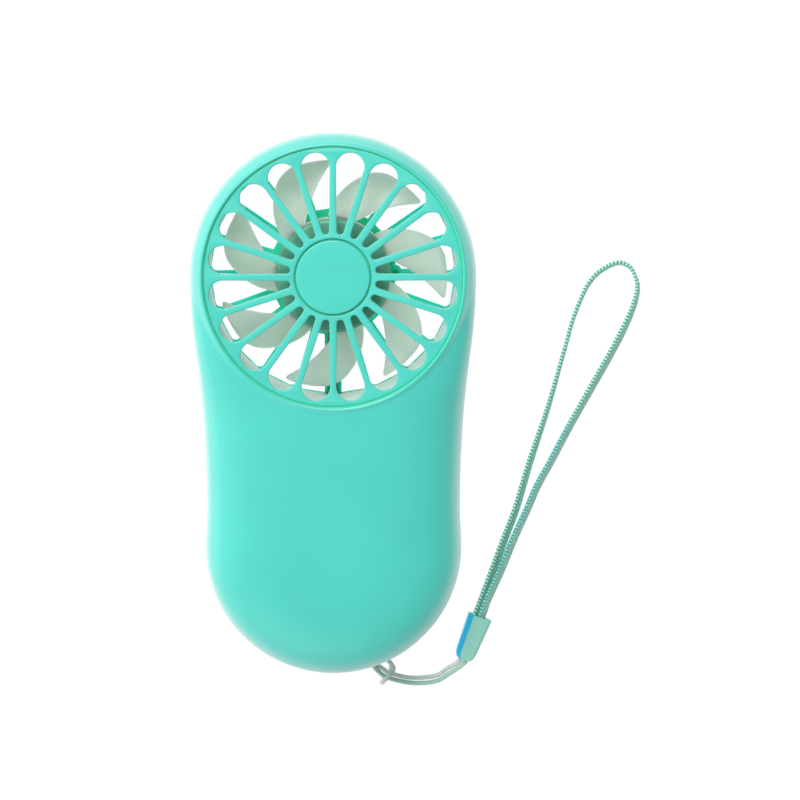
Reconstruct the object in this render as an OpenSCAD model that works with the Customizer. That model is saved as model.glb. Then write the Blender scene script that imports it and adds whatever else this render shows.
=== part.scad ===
// Pocket handheld fan with a wrist strap, lying on its back.
// +X is right, +Y points to the head, +Z points out of the front grille.
// The origin is under the middle of the fan, on the plane that its back rests on.

/* [Body] */
// overall length from head to foot
body_l = 120; // [119:0.5:122]
// width across the head ring
head_d = 62.8; // [62.8:0.1:63.6]
// width across the foot
foot_d = 56.9; // [56.5:0.1:57.5]
// narrowest width of the handle
waist_d = 56.2; // [55.6:0.1:56.2]
// height of the parting plane above the back
back_h = 14; // [14:0.1:14.4]
// height of the handle front above the parting plane
front_h = 13.7; // [13.7:0.1:14]
// wall thickness of both shells
wall = 1.8; // [1.6:0.1:1.9]
// roundness of the handle section (2 is an ellipse)
handle_n = 4; // [3.8:0.1:4.2]
// roundness of the head section
head_n = 11; // [9:1:13]

/* [Air path] */
// radius of the duct around the impeller
duct_r = 27.4; // [27.2:0.1:27.5]
// slots in the front grille, and in the rear one
slot_count = 20; // [18:1:20]
// thickness of both grilles
grille_t = 1.6; // [1.4:0.1:1.6]
// blades on the impeller
blade_count = 7; // [5:1:7]
// radius at the blade tips
blade_r = 25.3; // [25:0.1:26]
// radius of the impeller hub
hub_r = 12.6; // [12.5:0.1:12.8]

/* [Motor] */
// motor shaft diameter
shaft_d = 2; // [1.9:0.1:2]
// outside diameter of the bearing bush
bush_d = 6; // [5.6:0.1:6]
// outside diameter of the laminated core
core_d = 17.6; // [17:0.1:17.6]

/* [Handle parts] */
// battery cell width
cell_w = 25; // [22:1:25]
// battery cell length
cell_l = 38; // [34:1:38]
// battery cell thickness
cell_t = 9; // [8:0.5:9]
// power button diameter
button_d = 8.6; // [8:0.1:8.6]
// how far the button goes in
button_travel = 0.5; // [0.3:0.1:0.5]

/* [Strap] */
// lanyard cord diameter
cord_d = 1.05; // [0.85:0.05:1.05]
// strap ribbon width
band_w = 3.4; // [3:0.1:3.4]
// strap ribbon thickness
band_t = 0.8; // [0.6:0.1:0.8]

/* [Hidden] */
$fn = 64;

mint = [0.37, 0.83, 0.77];
mint_deep = [0.10, 0.78, 0.65];
blade_green = [0.62, 0.78, 0.68];
steel = [0.70, 0.72, 0.73];
magnet_grey = [0.24, 0.25, 0.27];
core_grey = [0.45, 0.47, 0.50];
copper = [0.76, 0.42, 0.20];
nylon = [0.90, 0.89, 0.84];
board_green = [0.08, 0.36, 0.20];
chip_black = [0.09, 0.09, 0.10];
cell_silver = [0.72, 0.74, 0.77];
tape_yellow = [0.85, 0.72, 0.30];
brass = [0.78, 0.62, 0.32];
wire_red = [0.72, 0.12, 0.10];
clear_white = [0.92, 0.95, 0.94];
cord_mint = [0.66, 0.84, 0.75];
strap_mint = [0.53, 0.79, 0.72];

head_r = head_d / 2;
foot_r = foot_d / 2;
waist_w = waist_d / 2;
head_y = body_l / 2 - head_r;
foot_y = foot_r - body_l / 2;
waist_y = -23;

// The side runs down from the head in a bulging arc and on to the waist in a hollow one.
side_dx = head_r - waist_w;
side_dy = head_y - waist_y;
side_sum = (side_dx * side_dx + side_dy * side_dy) / (2 * side_dx);
bulge_r = 125;
hollow_r = side_sum - bulge_r;
meet_y = head_y - side_dy * bulge_r / side_sum;

// The section changes from the round handle to the squarer head between these heights.
blend_low = -4;
blend_high = 24;

// outline points: steps in each quarter circle and along each side
arc_steps = 18;
side_steps = 15;
half_steps = 2 * arc_steps + side_steps;
edge_count = 2 * half_steps;

// angles of the skin's rings, and the share of the half width that is flat
ring_angles = [0, 6, 14, 23, 33, 43, 53, 63, 72, 80];
flat_share = 0.25;

// seats for the grilles
seat_r = duct_r + 0.9;
grille_r = seat_r - 0.15;
front_seat_z = back_h + front_h - 2.1;
rear_seat_z = 2.7;
rear_grille_z = rear_seat_z - grille_t;
rim_z = back_h + front_h;
duct_wall_r = duct_r + 1.6;
cavity_top_y = 6;

badge_r = 8.2;
badge_gap = 0.25;
badge_z = front_seat_z + 0.9;

// petal slot of the front grille: circles at its wide and narrow ends
petal_r = 3.1;
petal_pos = duct_r - petal_r - 0.1;
petal_tip_r = 0.8;
petal_tip_pos = 10.2;

// rear slot: inner and outer radius, rib width at each end, corner radius
rear_slot_in = 14.2;
rear_slot_out = duct_r - 0.2;
rear_rib_in = 1.3;
rear_rib_out = 0.9;
rear_corner_r = 1.2;

// motor heights, from the rear grille up
motor_board_z = 5.4;
motor_board_t = 1;
rotor_low_z = 6.6;
hub_top_z = 19.8;
yoke_top_z = 18;
yoke_t = 0.7;
yoke_r = hub_r - 1.1;
magnet_r = yoke_r - yoke_t;
magnet_t = 1.5;
core_r = core_d / 2;
core_low_z = 9.5;
core_h = 5;
tube_r = bush_d / 2 + 1;
tube_top_z = 16.2;
bush_low_z = 5.4;
bush_top_z = 15.8;
shaft_r = shaft_d / 2;
shaft_low_z = 4;
shaft_top_z = 19;
groove_low_z = 4.3;
groove_top_z = 4.9;
groove_r = 0.8;
stem_w = 2.6;
lining_t = 0.5;
core_ring_r = 5.2;

// shell screws: two at the neck and two at the foot, on both sides
screw_x = 17;
screw_ys = [-12, -44];
screw_seat_z = 9;

// main board
board_z = 9;
board_t = 1;
board_screw_x = 9.5;
board_screw_y = -19;
usb_x = -5;
button_y = -28;
lamp_x = 8.5;
cell_top_z = 24.5;
cell_top_y = -3;

// lanyard pin and the pocket it stands in
pin_x = 6.7;
pin_y = -52.3;
pin_r = 1.5;
pocket_turn = 29.2;
pocket_low_z = 4.2;
pocket_top_z = 9;
pocket_half_w = 3.2;
pocket_back = 3.3;
pocket_wall = 1.2;

// ferrule: foot of its centre line and its turn from +Y
ferrule_x = 29.5;
ferrule_y = -59.8;
ferrule_turn = -21.3;
ferrule_l = 10.5;

// Lanyard cord: out of the ferrule, under the hitch, round the pin, back as the hitch
// over both legs, round the pin again and home to the ferrule.
cord_route = [
  [29.3, -58.75, 1.9], [28.65, -60.35, 1.2], [26, -62.15, 0.65], [23.1, -63.9, 0.62],
  [17.6, -64.3, 0.65], [12.8, -63, 1.8], [11.1, -61.8, 2.3], [9.5, -60.4, 3.4],
  [8.2, -58.2, 4.95], [4.9, -53.3, 6.4], [4.7, -51.7, 6.4], [5.7, -50.5, 6.4],
  [7.3, -50.3, 6.4], [8.5, -51.3, 6.4], [9.9, -54.8, 5.7], [11.9, -59.1, 3],
  [13.1, -61.3, 1.1], [12.6, -63.4, 0.62], [11.2, -65, 1.1], [11.1, -65, 2.35],
  [12.5, -63.4, 3.15], [13.6, -61.7, 2.9], [12, -59, 4.7], [9.9, -54.8, 7.1],
  [8.5, -51.3, 7.8], [7.3, -50.3, 7.8], [5.7, -50.5, 7.8], [4.7, -51.7, 7.8],
  [4.9, -53.3, 7.8], [7.8, -58.5, 6.4], [9, -60.9, 4.5], [10.3, -62.6, 2.6],
  [12.2, -64.05, 1.75], [17.6, -65.5, 0.65], [23.1, -65.2, 0.62], [26.6, -63.25, 0.65],
  [29.8, -60.85, 1.2], [30.4, -59.15, 1.9]
];

// Ribbon: x, y, z and roll. Roll 0 lies flat and roll 90 stands on its edge.
band_route = [
  [32.1, -50.9, 1.8, 61], [32.9, -48.6, 1.8, 61], [33.7, -46.5, 1.8, 61],
  [36.3, -39.4, 1.8, 61], [38.8, -32.5, 1.8, 62], [41.4, -25.6, 1.8, 64],
  [43, -20.2, 1.8, 65], [44.6, -14.7, 1.8, 67], [46.4, -9.2, 1.8, 70],
  [48.2, -3.7, 1.8, 74], [49.8, 1.7, 1.8, 77], [51.3, 7.2, 1.8, 80],
  [52.8, 12.6, 1.8, 81], [54.3, 18, 1.8, 81], [56.5, 23.5, 1.8, 80],
  [58, 26.2, 1.8, 78], [60.4, 28.7, 1.8, 77], [64.2, 30.5, 1.8, 79],
  [67, 29.6, 1.8, 87], [68.4, 27.1, 1.8, 96], [68.8, 24.6, 1.8, 104],
  [67.9, 20.7, 1.8, 110], [65.6, 15.3, 1.8, 115], [62.8, 9.9, 1.8, 117],
  [58.2, 1.7, 1.8, 117], [53.6, -6.5, 1.8, 117], [49.3, -14.7, 1.8, 117],
  [46.3, -20.2, 1.8, 117], [44, -25.6, 1.8, 117], [40.9, -32.5, 1.8, 118],
  [38.1, -39.4, 1.8, 119], [35, -46.3, 1.8, 119], [34.2, -48.6, 1.8, 119],
  [33.3, -51, 1.8, 119]
];

// motor and battery wires, right-hand one of each pair
motor_wire_route = [
  [0.8, 21.0, 5.4], [0.8, 20.4, 4.2], [0.7, 18.6, 3.2], [0.6, 10.0, 3.2], [0.6, 1.0, 3.3],
  [0.9, -2.0, 3.8], [2.0, -7.0, 7.0], [3.2, -12.0, 10.8], [3.6, -16.0, 12.2],
  [3.6, -18.2, 11.4], [3.6, -18.6, 10.0]
];
cell_wire_route = [
  [6.0, -2.3, 18.0], [6.0, -2.4, 15.6], [6.0, -4.4, 13.6], [6.0, -9.0, 12.8],
  [6.0, -14.0, 12.8], [6.0, -17.0, 12.0], [6.0, -17.6, 10.0]
];
wire_d = 0.8;

function lerp(a, b, t) = a + (b - a) * t;
function ease(a, b, x) =
  let (t = min(1, max(0, (x - a) / (b - a))))
  t * t * (3 - 2 * t);
function unit(v) = v / norm(v);

// half width of the body beside its middle line
function side_w(y) =
  y >= meet_y ? head_r - bulge_r + sqrt(bulge_r * bulge_r - pow(y - head_y, 2)) :
  y >= waist_y ? waist_w + hollow_r - sqrt(hollow_r * hollow_r - pow(y - waist_y, 2)) :
  lerp(foot_r, waist_w, ease(foot_y, waist_y, y));

// right half of the outline, from the head's top to the foot's tip:
// x, y and the height of the point on the middle line that it shrinks towards
function right_edge(inset) = concat(
  [for (i = [0 : arc_steps - 1])
    let (a = 90 - 90 * i / arc_steps)
    [(head_r - inset) * cos(a), head_y + (head_r - inset) * sin(a), head_y]],
  [for (i = [0 : side_steps])
    let (y = lerp(head_y, foot_y, i / side_steps))
    [side_w(y) - inset, y, y]],
  [for (i = [1 : arc_steps])
    let (a = 90 * i / arc_steps)
    [(foot_r - inset) * cos(a), foot_y - (foot_r - inset) * sin(a), foot_y]]
);

// whole outline, clockwise from the head's top
function full_edge(inset) =
  let (e = right_edge(inset))
  concat(e, [for (i = [half_steps - 1 : -1 : 1]) [-e[i][0], e[i][1], e[i][2]]]);

function section_n(y) = lerp(handle_n, head_n, ease(blend_low, blend_high, y));

// outline point p drawn in to share s of its distance from the middle line
function drawn(p, s, z) = [p[0] * s, p[2] + (p[1] - p[2]) * s, z];

// rings of points up the skin; lip is how far it also runs below the parting plane
function skin_points(inset, rise, lip) =
  let (e = full_edge(inset))
  concat(
    lip > 0 ? [for (p = e) drawn(p, 1, -lip)] : [],
    [for (a = ring_angles)
      for (p = e)
        let (k = 2 / section_n(p[1]))
        drawn(p, pow(cos(a), k), rise * pow(sin(a), k))],
    [for (p = e) drawn(p, flat_share, rise)]
  );

// side faces of a closed stack of rings
function stack_faces(rings, n) = [
  for (r = [0 : rings - 2])
    for (i = [0 : n - 1])
      let (a = r * n + i, b = r * n + (i + 1) % n)
      for (f = [[a, b, b + n], [a, b + n, a + n]]) f
];

// a flat cap across the body, in strips from side to side
function cap_faces(start, up) = [
  for (i = [0 : half_steps - 1])
    let (j = (edge_count - i) % edge_count, k = edge_count - i - 1)
    let (q = i == 0 ? [0, 1, k] : i == half_steps - 1 ? [i, i + 1, j] : [i, i + 1, k, j])
    [for (m = [0 : len(q) - 1]) start + q[up ? m : len(q) - 1 - m]]
];

// one half of the body as a closed solid standing on the parting plane
module skin(inset, rise, lip) {
  rings = len(ring_angles) + 1 + (lip > 0 ? 1 : 0);
  polyhedron(
    points = skin_points(inset, rise, lip),
    faces = concat(
      cap_faces(0, false),
      stack_faces(rings, edge_count),
      cap_faces((rings - 1) * edge_count, true)
    )
  );
}

module at_screws() {
  for (x = [-screw_x, screw_x])
    for (y = screw_ys)
      translate([x, y, 0])
        children();
}

module at_board_screws() {
  for (x = [-board_screw_x, board_screw_x])
    translate([x, board_screw_y, 0])
      children();
}

module at_rotor() {
  translate([0, head_y, 0])
    children();
}

// frame of the lanyard pocket: its mouth faces +Y here
module at_pocket() {
  translate([pin_x, pin_y, 0])
    rotate(180 + pocket_turn)
      children();
}

module tube(r_out, r_in, z_low, z_high) {
  translate([0, 0, z_low])
    difference() {
      cylinder(r = r_out, h = z_high - z_low);
      translate([0, 0, -1])
        cylinder(r = r_in, h = z_high - z_low + 2);
    }
}

module rounded_rect(w, h, r) {
  square([w - 2 * r, h], center = true);
  square([w, h - 2 * r], center = true);
  for (x = [-1, 1])
    for (y = [-1, 1])
      translate([x * (w / 2 - r), y * (h / 2 - r)])
        circle(r = r);
}

module head_side_block() {
  translate([-head_d, cavity_top_y, -1])
    cube([2 * head_d, body_l, rim_z + 2]);
}

// hollow of the handle in front of the parting plane
module front_cavity() {
  difference() {
    translate([0, 0, back_h])
      skin(wall, front_h - wall, 1);
    at_rotor()
      cylinder(r = duct_wall_r, h = rim_z + 1);
    head_side_block();
    at_screws()
      cylinder(r = 2.6, h = rim_z);
  }
}

// Raised bead round the grille, blending into the head ring.
module rim_bead() {
  rotate_extrude() {
    translate([seat_r - 0.5, rim_z - 1.8])
      square([1.8, 1.7]);
    translate([seat_r + 1.3, rim_z - 1.5])
      circle(r = 1.4);
    translate([seat_r + 0.9, rim_z - 0.4])
      circle(r = 0.7);
  }
}

module front_shell() {
  color(mint)
    difference() {
      union() {
        translate([0, 0, back_h])
          skin(0, front_h, 0);
        at_rotor()
          rim_bead();
      }
      front_cavity();
      at_rotor() {
        cylinder(r = duct_r, h = rim_z + 2);
        translate([0, 0, front_seat_z])
          cylinder(r = seat_r, h = 4);
      }
      at_screws()
        cylinder(r = 0.85, h = screw_seat_z + 12);
    }
}

// hollow of the handle behind the parting plane, leaving its posts and the pocket's walls
module rear_cavity() {
  difference() {
    translate([0, 0, back_h])
      mirror([0, 0, 1])
        skin(wall, back_h - wall, 1);
    at_rotor()
      translate([0, 0, -1])
        cylinder(r = duct_wall_r, h = back_h + 3);
    head_side_block();
    at_screws()
      cylinder(r = 3, h = back_h);
    at_board_screws()
      cylinder(r = 2.2, h = board_z);
    at_pocket()
      translate([-pocket_half_w - pocket_wall, -pocket_back - pocket_wall, pocket_low_z - pocket_wall])
        cube([
          2 * (pocket_half_w + pocket_wall), foot_r, pocket_top_z - pocket_low_z + 2 * pocket_wall
        ]);
  }
}

module rear_shell() {
  color(mint)
    difference() {
      translate([0, 0, back_h])
        mirror([0, 0, 1])
          skin(0, back_h, 0);
      rear_cavity();
      at_rotor()
        translate([0, 0, -1]) {
          cylinder(r = duct_r, h = back_h + 2);
          cylinder(r = seat_r, h = rear_seat_z + 1);
        }
      // notch for the motor wires
      translate([-1.6, head_y - duct_wall_r - 1, rear_seat_z])
        cube([3.2, 3.5, 1.9]);
      at_screws() {
        translate([0, 0, -1])
          cylinder(r = 2.2, h = screw_seat_z + 1);
        cylinder(r = 1.15, h = back_h + 1);
      }
      at_board_screws()
        translate([0, 0, 3.5])
          cylinder(r = 0.9, h = board_z);
      // charging port
      translate([usb_x - 4.3, -body_l / 2 - 1, board_z + board_t - 0.4])
        cube([8.6, 6, 3.4]);
      translate([0, button_y, -1]) {
        cylinder(d = button_d + 0.6, h = 5);
        translate([lamp_x, 0, 0])
          cylinder(r = 1.05, h = 5);
      }
      at_pocket() {
        translate([-pocket_half_w, -pocket_back, pocket_low_z])
          cube([2 * pocket_half_w, foot_r, pocket_top_z - pocket_low_z]);
        translate([0, 0, pocket_low_z - 0.6])
          cylinder(r = pin_r, h = pocket_top_z - pocket_low_z + 1.2);
      }
    }
}

// points round an arc of radius r about [x, 0]
function arc(x, r, from, to, steps) = [
  for (i = [0 : steps])
    let (a = lerp(from, to, i / steps))
    [x + r * cos(a), r * sin(a)]
];

module petal_slot() {
  lean = 90 + asin((petal_r - petal_tip_r) / (petal_pos - petal_tip_pos));
  polygon(concat(
    arc(petal_pos, petal_r, -lean, lean, 24),
    arc(petal_tip_pos, petal_tip_r, lean, 360 - lean, 8)
  ));
}

module front_grille() {
  color(mint)
    at_rotor()
      difference() {
        translate([0, 0, front_seat_z])
          linear_extrude(grille_t)
            difference() {
              circle(r = grille_r);
              for (i = [0 : slot_count - 1])
                rotate(90 + (i + 0.5) * 360 / slot_count)
                  petal_slot();
            }
        translate([0, 0, badge_z])
          cylinder(r = badge_r + badge_gap, h = grille_t);
      }
}

module grille_badge() {
  color(mint)
    at_rotor()
      rotate_extrude()
        polygon([
          [0, badge_z], [badge_r, badge_z], [badge_r, badge_z + 0.6],
          [badge_r - 0.4, badge_z + 0.8], [0, badge_z + 0.8]
        ]);
}

module rear_slot() {
  half_in = rear_slot_in * sin(180 / slot_count) - rear_rib_in / 2;
  half_out = rear_slot_out * sin(180 / slot_count) - rear_rib_out / 2;
  polygon([
    [rear_slot_in, -half_in], [rear_slot_out - rear_corner_r, -half_out],
    [rear_slot_out - rear_corner_r, half_out], [rear_slot_in, half_in]
  ]);
  for (s = [-1, 1])
    translate([rear_slot_out - rear_corner_r, s * (half_out - rear_corner_r)])
      circle(r = rear_corner_r);
  translate([rear_slot_out - 2 * rear_corner_r, rear_corner_r - half_out])
    square([2 * rear_corner_r, 2 * (half_out - rear_corner_r)]);
}

module rear_grille() {
  color(mint_deep)
    at_rotor()
      difference() {
        union() {
          translate([0, 0, rear_grille_z])
            linear_extrude(grille_t)
              difference() {
                circle(r = grille_r);
                for (i = [0 : slot_count - 1])
                  rotate(90 + (i + 0.5) * 360 / slot_count)
                    rear_slot();
              }
          // bearing tube and the shoulder that carries the motor board
          cylinder_from(tube_r, rear_grille_z, tube_top_z);
          cylinder_from(core_ring_r, rear_grille_z, motor_board_z);
          // wire channel along the lowest rib
          translate([-1.9, -rear_slot_out, rear_grille_z])
            cube([3.8, rear_slot_out - 10, 2.9]);
          // locating post beside the hub
          translate([13.9, 0, 0])
            cylinder_from(1.65, rear_grille_z, 6.5);
        }
        cylinder_from(bush_d / 2, rear_seat_z, tube_top_z + 1);
        translate([-1.3, -rear_slot_out - 1, rear_seat_z])
          cube([2.6, rear_slot_out - 9, 3]);
        translate([13.9, 0, 0])
          cylinder_from(0.7, rear_seat_z, 7);
      }
}

module cylinder_from(r, z_low, z_high) {
  translate([0, 0, z_low])
    cylinder(r = r, h = z_high - z_low);
}

// One blade as a grid of points between its rear and front edges.
blade_root_r = hub_r - 0.4;
blade_radii = [
  for (i = [0 : 8]) lerp(blade_root_r, blade_r, 1 - pow(1 - i / 8, 1.5))
];
blade_tip_r = 1.2;
chord_steps = 6;
blade_grid_w = chord_steps + 1;

// degrees that both edges draw in near the tip, to round its corners
function tip_share(r) = min(1, max(0, r - blade_r + blade_tip_r) / blade_tip_r);
function tip_turn(r) = 2.9 * (1 - sqrt(1 - pow(tip_share(r), 2)));

// clockwise angle of the rear and the front edge at radius r
function rear_sweep(r) = -5 + 24 * pow(max(0, r - 12.5) / 10.9, 1.3) + 4 * pow(max(0, r - 23) / 2.7, 2);
function rear_edge(r) = rear_sweep(r) + tip_turn(r);
function front_edge(r) = 21 + 4.45 * pow(max(0, r - 12.5), 0.76) - tip_turn(r);
function blade_span(r) = (r - blade_root_r) / (blade_r - blade_root_r);
function blade_point(r, c, side) =
  let (
    a = 90 - lerp(rear_edge(r), front_edge(r), c),
    low = 9.2 + 0.8 * blade_span(r),
    high = 17.8 - 1.6 * blade_span(r),
    half_t = lerp(0.65, 0.45, blade_span(r))
  )
  [r * cos(a), r * sin(a), lerp(low, high, c) + 0.6 * sin(180 * c) + side * half_t];

// grid faces: seen from above for the top, reversed for the underside
function blade_quads(n) = [
  for (i = [0 : len(blade_radii) - 2])
    for (j = [0 : chord_steps - 1])
      let (a = i * n + j)
      [a, a + 1, a + 1 + n, a + n]
];

module blade() {
  n = blade_grid_w;
  last = len(blade_radii) - 1;
  under = n * len(blade_radii);
  quads = blade_quads(n);
  rim = concat(
    [for (j = [0 : chord_steps]) j],
    [for (i = [1 : last]) i * n + chord_steps],
    [for (j = [chord_steps - 1 : -1 : 0]) last * n + j],
    [for (i = [last - 1 : -1 : 1]) i * n]
  );
  m = len(rim);
  polyhedron(
    points = [
      for (side = [1, -1])
        for (r = blade_radii)
          for (j = [0 : chord_steps])
            blade_point(r, j / chord_steps, side)
    ],
    faces = concat(
      [for (q = quads) for (f = [[q[2], q[1], q[0]], [q[3], q[2], q[0]]]) f],
      [for (q = quads) for (f = [[q[0], q[1], q[2]], [q[0], q[2], q[3]]]) [for (v = f) v + under]],
      [for (i = [0 : m - 1])
        let (a = rim[i], b = rim[(i + 1) % m])
        for (f = [[a, b, b + under], [a, b + under, a + under]]) f]
    )
  );
}

module impeller() {
  color(blade_green)
    at_rotor() {
      rotate_extrude()
        polygon([
          [0, shaft_top_z], [shaft_r, shaft_top_z], [shaft_r, yoke_top_z],
          [yoke_r + 0.02, yoke_top_z], [yoke_r + 0.02, rotor_low_z], [hub_r, rotor_low_z],
          [hub_r, hub_top_z - 0.9], [hub_r - 0.9, hub_top_z], [0, hub_top_z]
        ]);
      for (i = [0 : blade_count - 1])
        rotate(-i * 360 / blade_count)
          blade();
    }
}

module rotor_yoke() {
  color(steel)
    at_rotor()
      rotate_extrude()
        polygon([
          [shaft_r, yoke_top_z - yoke_t], [magnet_r, yoke_top_z - yoke_t],
          [magnet_r, rotor_low_z + 0.4], [yoke_r, rotor_low_z + 0.4],
          [yoke_r, yoke_top_z], [shaft_r, yoke_top_z]
        ]);
}

module magnet_ring() {
  color(magnet_grey)
    at_rotor()
      tube(magnet_r, magnet_r - magnet_t, rotor_low_z + 1, yoke_top_z - 1.4);
}

module rotor_shaft() {
  color(steel)
    at_rotor()
      rotate_extrude()
        polygon([
          [0, shaft_low_z], [shaft_r, shaft_low_z], [shaft_r, groove_low_z],
          [groove_r, groove_low_z], [groove_r, groove_top_z], [shaft_r, groove_top_z],
          [shaft_r, shaft_top_z], [0, shaft_top_z]
        ]);
}

module shaft_clip() {
  color(nylon)
    at_rotor()
      tube(1.9, groove_r, groove_low_z + 0.1, groove_top_z - 0.1);
}

module bearing_bush() {
  color(brass)
    at_rotor()
      tube(bush_d / 2, shaft_r + 0.04, bush_low_z, bush_top_z);
}

// Star of four poles; reach is how far its stems run out.
module pole_star(ring_r, w, reach) {
  circle(r = ring_r);
  for (a = [0, 90])
    rotate(a)
      square([2 * reach, w], center = true);
}

module stator_core() {
  shoe_in = core_r - 0.9;
  color(core_grey)
    at_rotor()
      translate([0, 0, core_low_z])
        linear_extrude(core_h)
          difference() {
            union() {
              pole_star(core_ring_r, stem_w, shoe_in + 0.3);
              intersection() {
                difference() {
                  circle(r = core_r);
                  circle(r = shoe_in);
                }
                for (a = [0 : 90 : 270])
                  rotate(a)
                    polygon([[0, 0], [12, -7.8], [12, 7.8]]);
              }
            }
            circle(r = tube_r);
          }
}

module stator_bobbin() {
  color(nylon)
    at_rotor()
      difference() {
        translate([0, 0, core_low_z - lining_t])
          linear_extrude(core_h + 2 * lining_t)
            pole_star(core_ring_r + lining_t, stem_w + 2 * lining_t, core_r - 1.2);
        translate([0, 0, core_low_z])
          linear_extrude(core_h)
            pole_star(core_ring_r, stem_w, core_r);
        cylinder(r = tube_r, h = tube_top_z);
      }
}

module coil_windings() {
  color(copper)
    at_rotor()
      for (a = [0 : 90 : 270])
        rotate(a)
          translate([core_ring_r + lining_t + 0.05, 0, core_low_z + core_h / 2])
            rotate([90, 0, 90])
              linear_extrude(1.5)
                difference() {
                  rounded_rect(5.8, 8.2, 1);
                  square([stem_w + 2 * lining_t, core_h + 2 * lining_t], center = true);
                }
}

module motor_board() {
  color(board_green)
    at_rotor()
      tube(9.2, tube_r + 0.05, motor_board_z, motor_board_z + motor_board_t);
}

module hall_driver() {
  color(chip_black)
    at_rotor()
      rotate(45)
        translate([5.1, -1.5, motor_board_z + motor_board_t])
          cube([3, 3, 1.1]);
}

// smooth curve through four neighbouring route points
function between(a, b, c, d, t) =
  0.5 * ((2 * b) + (c - a) * t + (2 * a - 5 * b + 4 * c - d) * t * t
  + (3 * b - a - 3 * c + d) * t * t * t);

// the route with extra points put in on the smooth curve
function smooth_route(p, steps) = concat(
  [for (i = [0 : len(p) - 2])
    for (k = [0 : steps - 1])
      between(p[max(i - 1, 0)], p[i], p[i + 1], p[min(i + 2, len(p) - 1)], k / steps)],
  [p[len(p) - 1]]
);

function heading(p, i) = unit(p[min(i + 1, len(p) - 1)] - p[max(i - 1, 0)]);
function across(v, t) = unit(v - (v * t) * t);

// side direction at each point, carried along without twisting
function sides(p) = [
  for (
    i = 0, u = across([0.3, -0.4, 1], heading(p, 0));
    i < len(p);
    i = i + 1, u = i < len(p) ? across(u, heading(p, i)) : u
  ) u
];

// round tube along a route
module round_tube(route, d, steps) {
  p = smooth_route(route, steps);
  s = sides(p);
  n = 8;
  polyhedron(
    points = [
      for (i = [0 : len(p) - 1])
        let (h = heading(p, i), v = cross(h, s[i]))
        for (k = [0 : n - 1])
          p[i] + d / 2 * (cos(360 * k / n) * s[i] + sin(360 * k / n) * v)
    ],
    faces = concat(
      [[for (k = [0 : n - 1]) k]],
      [for (f = stack_faces(len(p), n)) [f[2], f[1], f[0]]],
      [[for (k = [n - 1 : -1 : 0]) (len(p) - 1) * n + k]]
    )
  );
}

module wire_pair(route) {
  for (s = [1, -1])
    round_tube([for (q = route) [s * q[0], q[1], q[2]]], wire_d, 2);
}

module motor_wires() {
  color(wire_red)
    wire_pair(motor_wire_route);
}

module battery_wires() {
  color(wire_red)
    wire_pair(cell_wire_route);
}

module battery_cell() {
  color(cell_silver)
    translate([0, cell_top_y, cell_top_z - cell_t / 2])
      rotate([90, 0, 0])
        linear_extrude(cell_l)
          rounded_rect(cell_w, cell_t, 1.5);
}

module battery_board() {
  color(board_green)
    translate([-9, cell_top_y, 18])
      cube([18, 1.1, 4]);
}

module battery_tape() {
  color(tape_yellow)
    translate([-6, cell_top_y - cell_l + 8, cell_top_z])
      cube([12, cell_l - 11, rim_z - wall - cell_top_z]);
}

module main_board() {
  color(board_green)
    difference() {
      translate([0, 0, board_z])
        linear_extrude(board_t)
          polygon([
            [-12.5, -16], [12.5, -16], [12.5, -42.6], [-0.2, -49.7],
            [-0.2, -55], [-8, -55], [-12.5, -51.5]
          ]);
      at_board_screws()
        cylinder(r = 1.05, h = board_z + 2);
    }
}

module charge_chip() {
  color(chip_black)
    translate([2, -32, board_z + board_t])
      cube([5, 4, 1.4]);
}

module boost_coil() {
  color(magnet_grey)
    translate([-7, -36, board_z + board_t])
      cylinder_from(2.4, 0, 2);
}

module board_capacitors() {
  color(tape_yellow)
    for (q = [[-4, -27], [-8, -29], [8.5, -33], [3.5, -37], [-2, -43]])
      translate([q[0], q[1], board_z + board_t])
        cube([2, 1.25, 0.9]);
}

module usb_socket() {
  z = board_z + board_t;
  color(steel)
    difference() {
      translate([usb_x - 3.75, -57.8, z])
        cube([7.5, 5.6, 2.6]);
      // mouth, with the contact tongue left standing in it
      difference() {
        translate([usb_x - 3.45, -58.8, z + 0.3])
          cube([6.9, 5.4, 2]);
        translate([usb_x - 2.6, -57.2, z + 1.1])
          cube([5.2, 5, 0.5]);
      }
    }
}

module tact_switch() {
  color(chip_black)
    translate([0, button_y, 0]) {
      translate([-3, -3, board_z - 3.5])
        cube([6, 6, 3.5]);
      cylinder_from(1.7, board_z - 5, board_z - 3.5);
    }
}

module indicator_led() {
  color(clear_white)
    translate([lamp_x - 1, button_y - 0.6, board_z - 0.8])
      cube([2, 1.2, 0.8]);
}

module light_pipe() {
  color(clear_white)
    translate([lamp_x, button_y, 0]) {
      cylinder_from(1, 0.35, 7.8);
      cylinder_from(1.7, 2.5, 3.1);
    }
}

module power_button() {
  color(mint)
    translate([0, button_y, 0])
      rotate_extrude()
        polygon([
          [0, 0.5], [button_d / 2 - 0.4, 0.5], [button_d / 2, 0.9], [button_d / 2, 2.2],
          [button_d / 2 + 0.9, 2.2], [button_d / 2 + 0.9, 3.5 - button_travel],
          [0, 3.5 - button_travel]
        ]);
}

module screw(head_r, head_h, shank_r, shank_l) {
  difference() {
    union() {
      cylinder(r = shank_r, h = shank_l);
      translate([0, 0, -head_h])
        cylinder(r = head_r, h = head_h);
    }
    // cross recess
    for (a = [0, 90])
      rotate(a)
        translate([-head_r * 0.6, -0.2, -head_h - 1])
          cube([head_r * 1.2, 0.4, 1.7]);
  }
}

module shell_screws() {
  color(steel)
    at_screws()
      translate([0, 0, screw_seat_z])
        screw(1.9, 1.4, 0.84, 11);
}

module board_screws() {
  color(steel)
    at_board_screws()
      translate([0, 0, board_z + board_t])
        mirror([0, 0, 1])
          screw(1.7, 1.2, 0.88, 6);
}

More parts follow.
